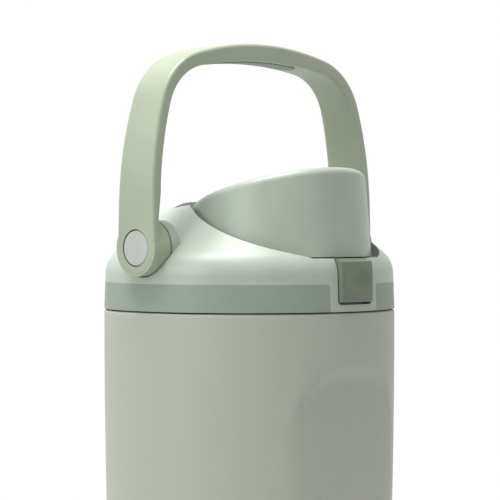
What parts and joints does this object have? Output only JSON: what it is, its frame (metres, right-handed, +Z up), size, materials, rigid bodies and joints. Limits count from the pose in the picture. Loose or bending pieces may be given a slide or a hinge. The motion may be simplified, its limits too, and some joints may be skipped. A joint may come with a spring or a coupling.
{
  "type": "water jug",
  "caption": "Large insulated steel water jug with a screw-on domed lid, flip cap over a drinking spout, release button and swinging bail handle.",
  "frame": {"origin": "centre of the foot ring on the surface that the jug stands on", "axes": "+Z up along the jug's axis, -Y towards the release button and front grip, +X along the handle's pivot"},
  "size_m": [0.1296, 0.1233, 0.3254],
  "materials": {
    "powder_coat": "fine textured powder coat",
    "steel": "brushed stainless",
    "foot_rubber": "matte",
    "silicone": "matte translucent",
    "lid_plastic": "satin",
    "band_rubber": "matte",
    "inner_plastic": "satin",
    "bush_plastic": "satin",
    "cover_plastic": "satin",
    "handle_plastic": "satin",
    "grip_rubber": "matte",
    "cap_plastic": "satin",
    "button_plastic": "satin"
  },
  "bodies": {
    "jug": {"outer_shell": "powder_coat", "inner_liner": "steel", "base_plate": "steel", "vacuum_seal_disc": "steel", "base_foot_ring": "foot_rubber"},
    "lid_seal": {"lid_gasket": "silicone"},
    "lid": {"lid_collar": "lid_plastic", "accent_band": "band_rubber", "lid_insert": "inner_plastic", "spout": "inner_plastic", "spout_gasket": "silicone", "vent_valve": "silicone", "hinge_pin": "steel", "cap_spring": "steel", "button_spring": "steel", "button_retainer": "inner_plastic", "left_pivot_bush": "bush_plastic", "right_pivot_bush": "bush_plastic", "left_friction_washer": "silicone", "right_friction_washer": "silicone", "left_pivot_screw": "steel", "right_pivot_screw": "steel"},
    "handle": {"handle_bail": "handle_plastic", "handle_grip_pad": "grip_rubber", "left_pivot_cap": "cover_plastic", "right_pivot_cap": "cover_plastic"},
    "cap": {"flip_cap_shell": "cap_plastic", "seal_carrier": "inner_plastic", "spout_seal": "silicone"},
    "button": {"latch_button": "button_plastic", "latch_slide": "inner_plastic"}
  },
  "joints": [
    {"name": "lid_lift", "type": "slide", "parent": "jug", "child": "lid_seal", "axis": [0, 0, 1], "range_m": [0, 0.006]},
    {"name": "lid_turn", "type": "hinge", "parent": "lid_seal", "child": "lid", "pos_m": [0, 0, 0.215], "axis": [0, 0, 1], "range_deg": [0, 540]},
    {"name": "handle_swing", "type": "hinge", "parent": "lid", "child": "handle", "pos_m": [0, 0, 0.2405], "axis": [1, 0, 0], "range_deg": [-120, 120]},
    {"name": "cap_flip", "type": "hinge", "parent": "lid", "child": "cap", "pos_m": [0, 0.0065, 0.2545], "axis": [-1, 0, 0], "range_deg": [0, 90], "deforming": ["cap_spring"]},
    {"name": "button_press", "type": "slide", "parent": "lid", "child": "button", "axis": [0, 1, 0], "range_m": [0, 0.003], "stiffness_N_per_m": 600, "deforming": ["button_spring"]}
  ],
  "couplings": [
    {"joint": "lid_turn", "follows": "lid_lift", "rad_per_m": 1570.8}
  ]
}
